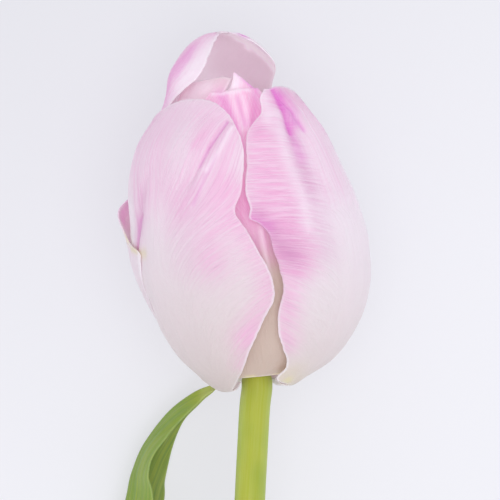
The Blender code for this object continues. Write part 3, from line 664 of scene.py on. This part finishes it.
class PetalSheet:
    """One petal's places: for each point of its grid the distance, azimuth and radius, then relief and colour."""

    def __init__(self, name, shares):
        petal = PETALS[name]
        low, high = petal["low"], petal["high"]
        self.name = name
        self.petal = petal
        self.track = PROFILES[id(petal["profile"])]
        self.across = np.array([u for u, v in shares])
        self.along = np.array([v for u, v in shares])
        tips = curve(petal["tip"], self.across)
        self.distance = self.along * tips
        lows = curve(low, self.along * low[-1][0])
        highs = curve(high, self.along * high[-1][0])
        self.azimuth = (1 - self.across) * lows + self.across * highs
        self.radius = np.array([abs(self.track.at(d)[0]) for d in self.distance])
        width = np.radians(highs - lows) * self.radius
        self.edge = np.minimum(np.minimum(self.across, 1 - self.across) * width, tips - self.distance)
        self.fray(width, tips)
        self.side = np.radians(self.azimuth - petal["midrib"]) * self.radius
        feather = curve(petal["feather"], self.distance)
        self.vein = self.distance - feather * np.log1p(np.abs(self.side) / VEIN_SPREAD)
        self.rim = curve(petal["rim"], self.distance)
        self.feathered = np.full(self.side.shape, EVEN_FEATHER)
        if "feathered_side" in petal:
            self.feathered = 1 / (1 + np.exp(-self.side * petal["feathered_side"] / FEATHER_BLEND))

    def fray(self, width, tips):
        """Makes the margins uneven, as a parrot tulip's are."""
        seed = 3.0 * list(PETALS).index(self.name)

        def nicks(place, margin):
            places = (Vector((place * wave, margin, seed + k)) for k, wave in enumerate(FRAY_WAVES))
            coarse, fine = (noise.noise(place) for place in places)
            return coarse + FINE_FRAY_SHARE * fine

        for k in range(len(self.distance)):
            d, arc = self.distance[k], math.radians(self.azimuth[k]) * self.radius[k]
            reach = FRAY.get(self.name, COMMON_FRAY) * ramp(d, *FRAY_STARTS)
            side = min(self.across[k], 1 - self.across[k]) * width[k]
            pull = 1 if self.across[k] < 0.5 else -1
            degree = math.degrees(1 / max(self.radius[k], FRAY_RADIUS))
            self.azimuth[k] += pull * reach * nicks(d, pull) * ramp(side, FRAY_REACH, 0) * degree
            self.distance[k] += reach * nicks(arc, 5) * ramp(tips[k] - d, FRAY_REACH, 0)

    def depth(self, waves, veins):
        """How far each point lies under the bloom's outline."""
        petal = self.petal
        shifts = [through(petal.get("tuck_shift", [(0, 0)]), d) for d in self.distance]
        tuck = np.array([ramp(a - s, *petal["tuck"]) for a, s in zip(self.azimuth, shifts)])
        tuck *= ramps(self.distance, *TUCK_STARTS)
        if "tuck_ends" in petal:
            tuck *= 1 - ramps(self.distance, *petal["tuck_ends"])
        depth = TUCK * tuck
        for points, deep, half_width in RELIEF.get(self.name, []):
            depth += deep * brush(points, half_width, self.distance, self.azimuth, self.radius)
        if self.name == "petal_hood":
            flare = np.exp(-(((self.distance - FLARE_DISTANCE) / FLARE_LENGTH) ** 2))
            depth -= FLARE_HEIGHT * flare * ramps(self.azimuth, *FLARE_AZIMUTHS)
            pressed = ramps(self.distance, *PRESSED_STARTS) * (1 - ramps(self.distance, *PRESSED_ENDS))
            depth += PRESSED_DEPTH * ramps(self.across, *PRESSED_ACROSS) * pressed
        if self.name == "petal_inner_front":
            depth += LEDGE_DEPTH * ramps(self.distance, *LEDGE_STARTS)
        seed = 10.0 * list(PETALS).index(self.name)
        free = np.clip(self.distance / SMOOTH_FOOT, 0, 1)
        for k, (s, d, a, v) in enumerate(zip(self.side, self.distance, self.azimuth, self.vein)):
            # Petals that lie on each other share their soft waves
            radius, height = self.track.at(d)
            turn = math.radians(a)
            place = Vector((radius * math.sin(turn), height * WAVE_STRETCH, radius * math.cos(turn)))
            coarse, fine = (noise.noise(place * pitch) for pitch in WAVE_PITCHES)
            soft = coarse + FINE_WAVE_SHARE * fine
            lines = noise.noise(Vector((v * VEIN_PITCH, abs(s) * VEIN_LENGTHWISE[0], seed + 5)))
            lines += noise.noise(Vector((s * VEIN_PITCH, d * VEIN_LENGTHWISE[1], seed + 7)))
            depth[k] += (waves * soft + veins * lines) * free[k]
        return depth

    def points(self, waves, veins):
        """Each point of the petal's middle surface, in metres on the table."""
        joint = Matrix.Translation(Vector((*BLOOM_BASE, AXIS_HEIGHT)))
        lean = joint @ Matrix.Rotation(math.radians(BLOOM_LEAN), 4, "Z")
        placed = []
        for distance, azimuth, depth in zip(self.distance, self.azimuth, self.depth(waves, veins)):
            radius, height = self.track.at(distance)
            run, rise = self.track.direction(distance)
            radius -= depth * rise
            height += depth * run
            turn = math.radians(azimuth)
            x = through(SIDE_BULGE, height) * ramp(distance, *BULGE_STARTS) + radius * math.sin(turn)
            z = max(radius * math.cos(turn), LOWEST_SURFACE - AXIS_HEIGHT)
            placed.append((lean @ Vector((x, height, z))) * MM)
        return placed

    def channel(self, channel):
        """How strongly one colour lies at each point."""
        beige = ramps(self.distance, *BEIGE_FROM[self.name])
        ground = GROUND[self.name].get(channel, 0.0)
        amount = beige + ground * (1 - beige) if channel == "beige" else ground * (1 - beige)
        if channel == "light":
            amount = FOOT_PAINTED_LIGHT * ramps(self.distance, *FOOT_PAINTED_LIGHT_BETWEEN)
        for strength, half_width, points in PAINT.get(self.name, {}).get(channel, []):
            cover = strength * brush(points, half_width, self.distance, self.azimuth, self.radius)
            amount = amount + cover * (1 - amount)
        return amount


class Socket:
    """A number in a material's node tree that takes part in sums."""

    def __init__(self, paint, socket):
        self.paint, self.socket = paint, socket

    def maths(self, operation, *values, clamp=False):
        made = {"operation": operation, "use_clamp": clamp}
        return self.paint.node("Math", made, dict(enumerate(values)))

    def __add__(self, other):
        return self.maths("ADD", self, other)

    def __sub__(self, other):
        return self.maths("SUBTRACT", self, other)

    def __rsub__(self, other):
        return self.maths("SUBTRACT", other, self)

    def __mul__(self, other):
        return self.maths("MULTIPLY", self, other)

    __radd__ = __add__
    __rmul__ = __mul__

    def clipped(self):
        return self.maths("ADD", self, 0.0, clamp=True)


class Paint:
    """One material, whose nodes all come from node()."""

    def __init__(self, name):
        self.material = bpy.data.materials.new(name)
        self.material.use_nodes = True
        self.tree = self.material.node_tree
        self.shader = self.tree.nodes["Principled BSDF"]

    def node(self, kind, settings=None, inputs=None, output=0):
        made = self.tree.nodes.new("ShaderNode" + kind)
        for key, value in (settings or {}).items():
            setattr(made, key, value)
        for key, value in (inputs or {}).items():
            self.feed(made.inputs[key], value)
        return Socket(self, made.outputs[output])

    def feed(self, target, value):
        if isinstance(value, Socket):
            self.tree.links.new(value.socket, target)
        else:
            target.default_value = value

    def attribute(self, name):
        return self.node("Attribute", {"attribute_name": name}, output="Fac")

    def grain(self, place, stretch, scale, detail=3.0, roughness=0.55):
        """Noise between 0 and 1, drawn out along one way."""
        vector = self.node("VectorMath", {"operation": "MULTIPLY"}, {0: place, 1: stretch})
        inputs = {"Vector": vector, "Scale": scale, "Detail": detail, "Roughness": roughness}
        return self.node("TexNoise", {"noise_dimensions": "3D"}, inputs)

    def mix(self, share, under, over):
        """A share of one colour over another. A plain colour has three parts and no alpha."""
        under, over = (side if isinstance(side, Socket) else (*side, 1) for side in (under, over))
        return self.node("Mix", {"data_type": "RGBA", "clamp_factor": True}, {0: share, 6: under, 7: over}, output=2)

    def steps(self, value, start, end):
        """A smooth ramp from one (position, value) stop to another."""
        inputs = {"Value": value, "From Min": start[0], "From Max": end[0], "To Min": start[1], "To Max": end[1]}
        return self.node("MapRange", {"interpolation_type": "SMOOTHSTEP"}, inputs)

    def finish(self, colour, roughness, bump=None, relief=0.0, **constants):
        self.feed(self.shader.inputs["Base Color"], colour)
        self.feed(self.shader.inputs["Roughness"], roughness)
        for key, value in constants.items():
            self.shader.inputs[key.replace("_", " ")].default_value = value
        if bump is not None:
            normal = self.node("Bump", None, {"Strength": 1.0, "Distance": relief, "Height": bump})
            self.feed(self.shader.inputs["Normal"], normal)
        return self.material


def petal_material(name, inside):
    """Feathered colour on a petal: the painted channels with their painted highlights and shade, drawn out along its
    veins, a thin margin paled partly by a painted highlight, and a glow in its own colour.
    """
    bloom = bpy.context.scene.tulip_bloom
    paint = Paint(f"{name}_{'inside' if inside else 'outside'}")
    channels = {channel: paint.attribute(channel) for channel in CHANNELS}
    if inside:
        for channel in ("blush", "magenta", "mauve"):
            channels[channel] = channels[channel] * INSIDE_PAINT
    veins = paint.node("UVMap", {"uv_map": "veins"})
    ribs = paint.node("UVMap", {"uv_map": "ribs"})
    feathers = paint.grain(veins, (1.0, 0.07, 1.0), 1.7, 4.0, 0.6)
    streaks = paint.grain(ribs, (1.0, 0.035, 1.0), 1.4, 4.0, 0.6)
    clouds = paint.grain(ribs, (0.12, 0.08, 1.0), 1.0, 2.0)
    feathered = paint.attribute("feathered")
    lines = paint.steps(feathers * feathered + streaks * (1 - feathered), (0.34, 0.0), (0.66, 1.0))
    drift = (clouds - 0.5) * 0.5
    inner = name in INNER_PETALS
    foot, pink = (bloom.foot, bloom.rose) if inner else (bloom.beige, bloom.blush)
    # Beige towards the foot: partly the petals' own colour, partly painted shade
    colour = paint.mix(channels["beige"] * FOOT_STRENGTHS[inner], bloom.inside if inside else bloom.body, foot)
    blush = (channels["blush"] * (lines * 0.5 + 0.72 + drift)).clipped()
    colour = paint.mix(blush, colour, pink)
    fine = paint.steps(paint.grain(veins, (1.0, 0.05, 1.0), 2.7, 2.0), (0.5, 0.0), (0.7, 0.38))
    colour = paint.mix(channels["blush"] * feathered * fine, colour, bloom.mauve)
    # Painted shade in folds and hollows, in mauve
    colour = paint.mix(channels["mauve"] * (lines * 0.6 + 0.65), colour, bloom.mauve)
    # Magenta: partly the flower's own deep pink, partly painted shade in the creases
    colour = paint.mix(channels["magenta"] * (lines * 0.3 + 0.8), colour, bloom.magenta)
    colour = paint.mix(channels["green"], colour, bloom.green)
    # Painted highlights
    colour = paint.mix(channels["light"] * LIGHT_STRENGTHS[inside], colour, bloom.pale)
    # A paler thin margin: partly the tissue's own paleness, partly a painted highlight
    rim = paint.steps(paint.attribute("edge"), (0.1, 1.0), (0.65, 0.0)) * paint.attribute("rim")
    colour = paint.mix(rim, colour, bloom.pale)
    # A glow in the petal's own colour, painted in place of light that comes through it
    paint.feed(paint.shader.inputs["Emission Color"], colour)
    return paint.finish(
        colour,
        0.52 + (lines - 0.5) * 0.12,
        lines,
        0.00006,
        Emission_Strength=GLOWS.get(name, COMMON_GLOWS)[inside],
        Subsurface_Weight=0.45,
        Subsurface_Radius=(1.0, 0.8, 0.9),
        Subsurface_Scale=0.002,
        Sheen_Weight=0.08,
        Sheen_Roughness=0.4,
        Specular_IOR_Level=0.35,
    )


def settle(mesh_shape, name, materials, node):
    """Makes one finished piece from a bmesh, standing for a node of the frame."""
    mesh = bpy.data.meshes.new(name)
    mesh_shape.to_mesh(mesh)
    mesh_shape.free()
    mesh.shade_smooth()
    for material in materials:
        mesh.materials.append(material)
    piece = bpy.data.objects.new(name, mesh)
    bpy.context.scene.collection.objects.link(piece)
    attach(piece, "root")
    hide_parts(node)
    return piece


def add_wall(piece, thickness, margin_share):
    """Gives an open surface its two faces. The margins' share of the thickness comes from the piece's own group."""
    piece.vertex_groups.new(name="wall")
    wall = piece.modifiers.new("wall", "SOLIDIFY")
    wall.thickness = thickness
    wall.offset = 0
    wall.vertex_group = "wall"
    wall.thickness_vertex_group = margin_share
    wall.material_offset = 1
    wall.material_offset_rim = 0


def flat_grid(columns, rows):
    """A flat grid and the shares of its width and length at each point, closer together near its rim."""
    grid = bmesh.new()
    bmesh.ops.create_grid(grid, x_segments=columns, y_segments=rows, size=0.5)
    shares = [(even_ends(v.co.x + 0.5), even_ends(v.co.y + 0.5)) for v in grid.verts]
    return grid, shares


def write_layers(grid, places, numbers, maps, wall):
    """Moves a grid's points to their places, and gives them numbers, maps and wall thickness."""
    deform = grid.verts.layers.deform.verify()
    layers = {name: grid.verts.layers.float.new(name) for name in numbers}
    for k, vertex in enumerate(grid.verts):
        vertex.co = places[k]
        vertex[deform][0] = wall[k]
        for name, layer in layers.items():
            vertex[layer] = numbers[name][k]
    grid.verts.index_update()
    for name, (across, along) in maps.items():
        layer = grid.loops.layers.uv.new(name)
        for face in grid.faces:
            for loop in face.loops:
                k = loop.vert.index
                loop[layer].uv = (across[k], along[k])


def add_petal(name, columns, rows, slot):
    bloom = bpy.context.scene.tulip_bloom
    grid, shares = flat_grid(columns, rows)
    sheet = PetalSheet(name, shares)
    places = sheet.points(bloom.waves / MM, bloom.veins / MM)
    numbers = {channel: sheet.channel(channel) for channel in CHANNELS}
    numbers["edge"] = sheet.edge
    numbers["rim"] = sheet.rim
    numbers["feathered"] = sheet.feathered
    seed = 7.0 * list(PETALS).index(name)
    streaks = sheet.across * STREAKS_ACROSS + seed
    maps = {"veins": (sheet.vein + seed, np.abs(sheet.side)), "ribs": (streaks, sheet.distance)}
    write_layers(grid, places, numbers, maps, full_wall(sheet.edge))
    piece = settle(grid, f"tulip_{name}", [petal_material(name, False), petal_material(name, True)], name)
    add_wall(piece, bloom.wall, bloom.margin / bloom.wall)


class TULIP_OT_outer_petals(bpy.types.Operator):
    """Builds the three outer petals: front left, front right and the hooded back one"""

    bl_idname = "tulip.outer_petals"
    bl_label = "Outer petals"

    def execute(self, context):
        for name in OUTER_PETALS:
            add_petal(name, *OUTER_GRID, "petal_outer")
        return {"FINISHED"}


class TULIP_OT_inner_petals(bpy.types.Operator):
    """Builds the three inner petals"""

    bl_idname = "tulip.inner_petals"
    bl_label = "Inner petals"

    def execute(self, context):
        for name in INNER_PETALS:
            add_petal(name, *INNER_GRID, "petal_inner")
        return {"FINISHED"}


def along_axis(height, radius=0.0, turn=0.0):
    """A point beside the bloom's axis, in metres on the table."""
    lean = Matrix.Rotation(math.radians(BLOOM_LEAN), 4, "Z")
    place = lean @ Vector((radius * math.sin(turn), height, radius * math.cos(turn)))
    return (place + Vector((*BLOOM_BASE, AXIS_HEIGHT))) * MM


def tissue_material(name, colour, tip, roughness=0.45):
    """Moist plant tissue with fine long streaks."""
    paint = Paint(name)
    place = paint.node("TexCoord", output="Object")
    streaks = paint.grain(place, (1.0, 0.12, 1.0), 1400, 3.0)
    shade = paint.mix(paint.steps(streaks, (0.3, 0.0), (0.7, 0.6)), colour, tip)
    return paint.finish(shade, roughness, streaks, 0.00005, Subsurface_Weight=0.2, Subsurface_Scale=0.001)


def tube(track, radius_at, columns, rows):
    """A closed tube along a track, with its share of the way round and its distance in mm."""
    grid = bmesh.new()
    bmesh.ops.create_grid(grid, x_segments=columns, y_segments=rows, size=0.5)
    around, along = [], []
    for vertex in grid.verts:
        turn = (vertex.co.x + 1) * math.tau
        distance = (vertex.co.y + 0.5) * track.length
        forward = track.direction(distance)
        side = forward.cross(Vector((0, 0, 1))).normalized()
        up = side.cross(forward)
        radius = radius_at(distance, turn)
        vertex.co = track.at(distance) + (side * math.sin(turn) + up * math.cos(turn)) * radius
        around.append(turn)
        along.append(distance)
    grid.verts.index_update()
    layer = grid.loops.layers.uv.new("along")
    for face in grid.faces:
        for loop in face.loops:
            loop[layer].uv = (around[loop.vert.index], along[loop.vert.index])
    bmesh.ops.remove_doubles(grid, verts=grid.verts, dist=0.001)
    caps = bmesh.ops.holes_fill(grid, edges=[e for e in grid.edges if e.is_boundary], sides=0)["faces"]
    return grid, caps


class TULIP_OT_stem(bpy.types.Operator):
    """Builds the stem, from its receptacle inside the bloom to its cut end"""

    bl_idname = "tulip.stem"
    bl_label = "Stem"

    def execute(self, context):
        green = context.scene.tulip_green
        lean = Matrix.Rotation(math.radians(BLOOM_LEAN), 3, "Z")
        crown = [lean @ Vector((0, height, 0)) for height, radius in RECEPTACLE]
        track = Track([*crown, *STEM_LINE])
        joint = sum((b - a).length for a, b in zip(crown, crown[1:]))
        crown_radii = [(joint * k / (len(RECEPTACLE) - 1), radius) for k, (height, radius) in enumerate(RECEPTACLE)]
        top, end = green.stem_top / MM, green.stem_end / MM

        def radius_at(distance, turn):
            if distance < joint:
                return through(crown_radii, distance)
            base = top + (end - top) * (distance - joint) / (track.length - joint)
            wave = noise.noise(Vector((math.cos(turn), math.sin(turn), distance * STEM_WAVE_PITCH)))
            ribs = STEM_RIB_HEIGHT * math.sin(turn * STEM_RIBS) + STEM_WAVE * wave
            return base + ribs * ramp(distance, joint, joint + STEM_RIBS_START)

        shape, caps = tube(track, radius_at, *STEM_GRID)
        cut = max(caps, key=lambda face: -face.calc_center_median().y)
        for size, sink in CUT_RINGS:
            bmesh.ops.inset_region(shape, faces=[cut], thickness=size, depth=sink)
        cut_faces = {cut, *(face for edge in cut.edges for face in edge.link_faces)}
        for face in cut_faces:
            face.material_index = 1
        bmesh.ops.recalc_face_normals(shape, faces=shape.faces[:])
        bmesh.ops.transform(shape, matrix=table_frame(), verts=shape.verts)
        settle(shape, "tulip_stem", [stem_material(), cut_material()], "stem")
        return {"FINISHED"}


def table_frame():
    """From millimetres round the joint to metres on the table."""
    return Matrix.Scale(MM, 4) @ Matrix.Translation(Vector((*BLOOM_BASE, AXIS_HEIGHT)))


def stem_material():
    """Waxy green with long pale fibres, and flanks lightened by a painted highlight."""
    green = bpy.context.scene.tulip_green
    paint = Paint("stem_skin")
    place = paint.node("UVMap", {"uv_map": "along"})
    fibres = paint.grain(place, (5.0, 0.05, 1.0), 1.6, 4.0, 0.6)
    blotches = paint.grain(place, (0.4, 0.06, 1.0), 1.0, 2.0)
    # Painted highlight: the stem turns lighter away from its top towards its flanks
    turn = paint.node("SeparateXYZ", None, {"Vector": place}) - math.tau
    flanks = paint.steps(turn.maths("ABSOLUTE", turn), (0.25, 0.0), (1.3, 0.8))
    colour = paint.mix(flanks, green.stem, green.stem_flank_highlight)
    colour = paint.mix(paint.steps(fibres, (0.35, 0.0), (0.7, 0.1)), colour, green.cut)
    colour = paint.mix(paint.steps(blotches, (0.4, 0.0), (0.75, 0.3)), colour, green.leaf_outside)
    return paint.finish(
        colour, 0.42 + fibres * 0.12, fibres, 0.00002, Subsurface_Weight=0.25, Subsurface_Radius=(0.6, 1.0, 0.2),
        Subsurface_Scale=0.002, Specular_IOR_Level=0.4,
    )


def cut_material():
    """The stem's cut end: pale wet pith with darker bundles."""
    green = bpy.context.scene.tulip_green
    paint = Paint("stem_cut")
    place = paint.node("TexCoord", output="Object")
    cells = paint.node("TexVoronoi", None, {"Vector": place, "Scale": 1500.0})
    colour = paint.mix(paint.steps(cells, (0.1, 0.5), (0.45, 0.0)), green.cut, green.stem)
    return paint.finish(colour, 0.3, cells, 0.00008, Subsurface_Weight=0.3, Subsurface_Scale=0.001)


class LeafShape:
    """The leaf's surface: a keel line with two wings that curl up from it."""

    def __init__(self):
        self.keel = Track([station[0] for station in LEAF_STATIONS])
        last = len(LEAF_STATIONS) - 1
        marks = [self.keel.along[k * (len(self.keel.along) - 1) // last] for k in range(last + 1)]
        self.curves = [
            [(mark, station[part]) for mark, station in zip(marks, LEAF_STATIONS)] for part in (1, 2, 3, 4)
        ]

    def row(self, along):
        distance = along * self.keel.length
        breadth, at_keel, at_margin, roll = (through(curve, distance) for curve in self.curves)
        forward = self.keel.direction(distance)
        opening = Vector((forward.y, -forward.x, 0)).normalized()
        return distance, breadth, at_keel, at_margin, roll, opening, opening.cross(forward)

    def point(self, row, across):
        distance, breadth, at_keel, at_margin, roll, opening, up = row
        side = 2 * across - 1
        place = self.keel.at(distance)
        for piece in range(LEAF_BENDS):
            bend = (piece + 0.5) / LEAF_BENDS * abs(side)
            angle = math.radians(roll) + math.copysign(math.radians(at_keel + (at_margin - at_keel) * bend), side)
            way = opening * math.cos(angle) + up * math.sin(angle)
            place = place + way * (breadth * abs(side) / LEAF_BENDS)
        wave = LEAF_WAVE * noise.noise(Vector((side * 2, distance * LEAF_WAVE_PITCH, 4))) * abs(side)
        ribs = LEAF_RIB_HEIGHT * math.cos(side * breadth * LEAF_RIB_PITCH)
        angle += QUARTER_TURN
        return place + (opening * math.cos(angle) + up * math.sin(angle)) * (wave + ribs)


class TULIP_OT_leaf(bpy.types.Operator):
    """Builds the one leaf, from its clasping foot to its tip"""

    bl_idname = "tulip.leaf"
    bl_label = "Leaf"

    def execute(self, context):
        green = context.scene.tulip_green
        grid, shares = flat_grid(*LEAF_GRID)
        shape = LeafShape()
        rows = {along: shape.row(along) for across, along in shares}
        places = [table_frame() @ shape.point(rows[along], across) for across, along in shares]
        breadth = np.array([rows[along][1] for across, along in shares])
        side = np.array([2 * across - 1 for across, along in shares]) * breadth
        distance = np.array([rows[along][0] for across, along in shares])
        edge = np.minimum(breadth - np.abs(side), shape.keel.length - distance)
        tip = ramps(distance, shape.keel.length - LEAF_TIP_LENGTH, shape.keel.length)
        write_layers(grid, places, {"edge": edge, "tip": tip}, {"veins": (side, distance)}, full_wall(edge))
        faces = [leaf_material("leaf_outside", green.leaf_outside), leaf_material("leaf_inside", green.leaf_inside)]
        add_wall(settle(grid, "tulip_leaf", faces, "leaf"), green.leaf_wall, LEAF_MARGIN_SHARE)
        return {"FINISHED"}


def leaf_material(name, colour):
    """Waxy leaf with parallel veins, a pale thin margin and a yellowing tip."""
    green = bpy.context.scene.tulip_green
    paint = Paint(name)
    place = paint.node("UVMap", {"uv_map": "veins"})
    veins = paint.grain(place, (2.2, 0.03, 1.0), 1.0, 4.0, 0.6)
    bloom = paint.grain(place, (0.15, 0.05, 1.0), 1.0, 2.0)
    shade = paint.mix(paint.steps(veins, (0.35, 0.0), (0.65, 0.35)), colour, green.stem)
    shade = paint.mix(paint.steps(bloom, (0.35, 0.0), (0.75, 0.12)), shade, green.cut)
    tip = paint.attribute("tip")
    shade = paint.mix(tip * 0.7, shade, green.stem)
    shade = paint.mix(paint.steps(tip, (0.55, 0.0), (0.95, 0.18)), shade, green.cut)
    shade = paint.mix(paint.steps(paint.attribute("edge"), (0.05, 0.15), (0.5, 0.0)), shade, green.cut)
    return paint.finish(
        shade, 0.45 + (veins - 0.5) * 0.2, veins, 0.0001, Subsurface_Weight=0.15, Subsurface_Radius=(0.5, 1.0, 0.2),
        Subsurface_Scale=0.001, Specular_IOR_Level=0.4,
    )


def add_ellipsoid(shape, middle, turn, size, segments):
    """Adds an ellipsoid with three half lengths in mm, turned with its place round the bloom's axis."""
    stretch = Matrix.Diagonal((*(part * MM for part in size), 1))
    place = Matrix.Translation(middle) @ Matrix.Rotation(turn, 4, "Y") @ stretch
    bmesh.ops.create_uvsphere(shape, u_segments=segments[0], v_segments=segments[1], radius=1, matrix=place)


class TULIP_OT_pistil_and_stamens(bpy.types.Operator):
    """Builds the pistil with its three-lobed stigma, and the six stamens round it"""

    bl_idname = "tulip.pistil_and_stamens"
    bl_label = "Pistil and stamens"

    def execute(self, context):
        green = context.scene.tulip_green
        pistil = bmesh.new()
        profile = [pistil.verts.new(along_axis(height, radius)) for radius, height in PISTIL_PROFILE]
        edges = [pistil.edges.new(pair) for pair in zip(profile, profile[1:])]
        axis = (along_axis(1) - along_axis(0)).normalized()
        bmesh.ops.spin(
            pistil, geom=profile + edges, cent=along_axis(0), axis=axis, angle=math.tau, steps=36, use_merge=True
        )
        bmesh.ops.holes_fill(pistil, edges=[e for e in pistil.edges if e.is_boundary], sides=0)
        for vertex in pistil.verts:
            centre = along_axis(0) + axis * (vertex.co - along_axis(0)).dot(axis)
            out = vertex.co - centre
            turn = math.atan2(out.x, out.z)
            vertex.co = centre + out * (1 + PISTIL_RIDGES * math.cos(3 * turn))
        for lobe in range(3):
            turn = math.radians(120 * lobe + STIGMA_TURN)
            add_ellipsoid(pistil, along_axis(STIGMA_HEIGHT, STIGMA_RADIUS, turn), turn, STIGMA_LOBE, (20, 14))
        bmesh.ops.recalc_face_normals(pistil, faces=pistil.faces[:])
        pale = tissue_material("ovary", green.ovary, green.cut)
        settle(pistil, "tulip_pistil", [pale], "pistil_and_stamens")
        filaments, anthers = bmesh.new(), bmesh.new()
        for stamen in range(STAMEN_COUNT):
            turn = math.radians(360 / STAMEN_COUNT * stamen + STAMEN_TURN)
            foot = along_axis(FILAMENT_HEIGHTS[0], STAMEN_RADII[0], turn)
            top = along_axis(FILAMENT_HEIGHTS[1], STAMEN_RADII[1], turn)
            aim = (top - foot).to_track_quat("Z", "Y").to_matrix().to_4x4()
            low, high = (thickness * MM for thickness in FILAMENT_THICKNESS)
            bmesh.ops.create_cone(
                filaments, cap_ends=True, segments=14, radius1=low, radius2=high, depth=(top - foot).length,
                matrix=Matrix.Translation((foot + top) / 2) @ aim,
            )
            for side in (-1, 1):
                height = FILAMENT_HEIGHTS[1] + ANTHER_LENGTH / 2 - 1
                middle = along_axis(height, STAMEN_RADII[1], turn + side * ANTHER_SPREAD)
                add_ellipsoid(anthers, middle, turn, ANTHER_SACK, (14, 12))
        settle(
            filaments, "tulip_filaments", [tissue_material("filament", green.cut, green.ovary)],
            "pistil_and_stamens",
        )
        settle(
            anthers, "tulip_anthers", [tissue_material("anther", green.anther, green.ovary, 0.8)],
            "pistil_and_stamens",
        )
        return {"FINISHED"}


def add_light(name, size, power, place, target):
    """Adds a round area light at one place that looks at another."""
    data = bpy.data.lights.new(name, "AREA")
    data.shape = "DISK"
    data.size = size
    data.energy = power
    light = bpy.data.objects.new(name, data)
    light.location = place
    light.rotation_euler = (Vector(target) - Vector(place)).to_track_quat("-Z", "Y").to_euler()
    bpy.context.scene.collection.objects.link(light)


class TULIP_OT_stage(bpy.types.Operator):
    """Sets the pale table, the soft light and the camera over the bloom"""

    bl_idname = "tulip.stage"
    bl_label = "Table, light and camera"

    def execute(self, context):
        scene, stage = context.scene, context.scene.tulip_stage
        table = bmesh.new()
        bmesh.ops.create_circle(table, cap_ends=True, segments=96, radius=TABLE_RADIUS)
        mesh = bpy.data.meshes.new("table")
        table.to_mesh(mesh)
        table.free()
        paint = Paint("table_top")
        place = paint.node("TexCoord", output="Object")
        far = paint.node("VectorMath", {"operation": "DOT_PRODUCT"}, {0: place, 1: SHADE_WAY}, output="Value")
        shaded = paint.steps(far, (SHADE_BETWEEN[0], 0.0), (SHADE_BETWEEN[1], 1.0))

        def darkening(colour):
            return paint.mix(shaded, colour, tuple(part * SHADE_SHARE for part in colour))

        paint.feed(paint.shader.inputs["Emission Color"], darkening(stage.surround))
        lit = tuple(part * (1 - stage.glow) for part in stage.surround)
        mesh.materials.append(paint.finish(darkening(lit), 0.9, Emission_Strength=stage.glow))
        floor = bpy.data.objects.new("table", mesh)
        scene.collection.objects.link(floor)
        world = bpy.data.worlds.new("room")
        world.use_nodes = True
        world.node_tree.nodes["Background"].inputs["Color"].default_value = (*stage.surround, 1)
        world.node_tree.nodes["Background"].inputs["Strength"].default_value = stage.room_light
        scene.world = world
        add_light("window", WINDOW_SIZE, stage.window_light, WINDOW_PLACE, BLOOM_MIDDLE)
        camera = bpy.data.objects.new("camera", bpy.data.cameras.new("camera"))
        pixel = stage.view_width / PHOTO_WIDTH
        camera.location = (
            BLOOM_BASE[0] * MM + PHOTO_MIDDLE[0] * pixel,
            BLOOM_BASE[1] * MM + PHOTO_MIDDLE[1] * pixel,
            AXIS_HEIGHT * MM + stage.camera_height,
        )
        camera.data.sensor_width = SENSOR_WIDTH
        camera.data.lens = SENSOR_WIDTH * stage.camera_height / stage.view_width
        scene.collection.objects.link(camera)
        scene.camera = camera
        scene.view_settings.view_transform = "Standard"
        return {"FINISHED"}


class TULIP_PT_panel(bpy.types.Panel):
    """Lists the tulip's pieces"""

    bl_label = "Cut parrot tulip"
    bl_idname = "TULIP_PT_panel"
    bl_space_type = "VIEW_3D"
    bl_region_type = "UI"
    bl_category = "Tulip"

    def draw(self, context):
        for operator in OPERATORS:
            self.layout.operator(operator.bl_idname)
        for settings in (context.scene.tulip_bloom, context.scene.tulip_green, context.scene.tulip_stage):
            box = self.layout.box()
            for name in settings.bl_rna.properties.keys():
                if name not in ("rna_type", "name"):
                    box.prop(settings, name)


OPERATORS = (
    TULIP_OT_outer_petals,
    TULIP_OT_inner_petals,
    TULIP_OT_pistil_and_stamens,
    TULIP_OT_stem,
    TULIP_OT_leaf,
    TULIP_OT_stage,
)
CLASSES = (TulipBloomSettings, TulipGreenSettings, TulipStageSettings, *OPERATORS, TULIP_PT_panel)


def register():
    for entry in CLASSES:
        bpy.utils.register_class(entry)
    bpy.types.Scene.tulip_bloom = PointerProperty(type=TulipBloomSettings)
    bpy.types.Scene.tulip_green = PointerProperty(type=TulipGreenSettings)
    bpy.types.Scene.tulip_stage = PointerProperty(type=TulipStageSettings)


def unregister():
    del bpy.types.Scene.tulip_stage
    del bpy.types.Scene.tulip_green
    del bpy.types.Scene.tulip_bloom
    for entry in reversed(CLASSES):
        bpy.utils.unregister_class(entry)


def main():
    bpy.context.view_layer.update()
    register()
    bpy.ops.tulip.outer_petals()
    bpy.ops.tulip.inner_petals()
    bpy.ops.tulip.pistil_and_stamens()
    bpy.ops.tulip.stem()
    bpy.ops.tulip.leaf()
    bpy.ops.tulip.stage()


if __name__ == "__main__":
    main()
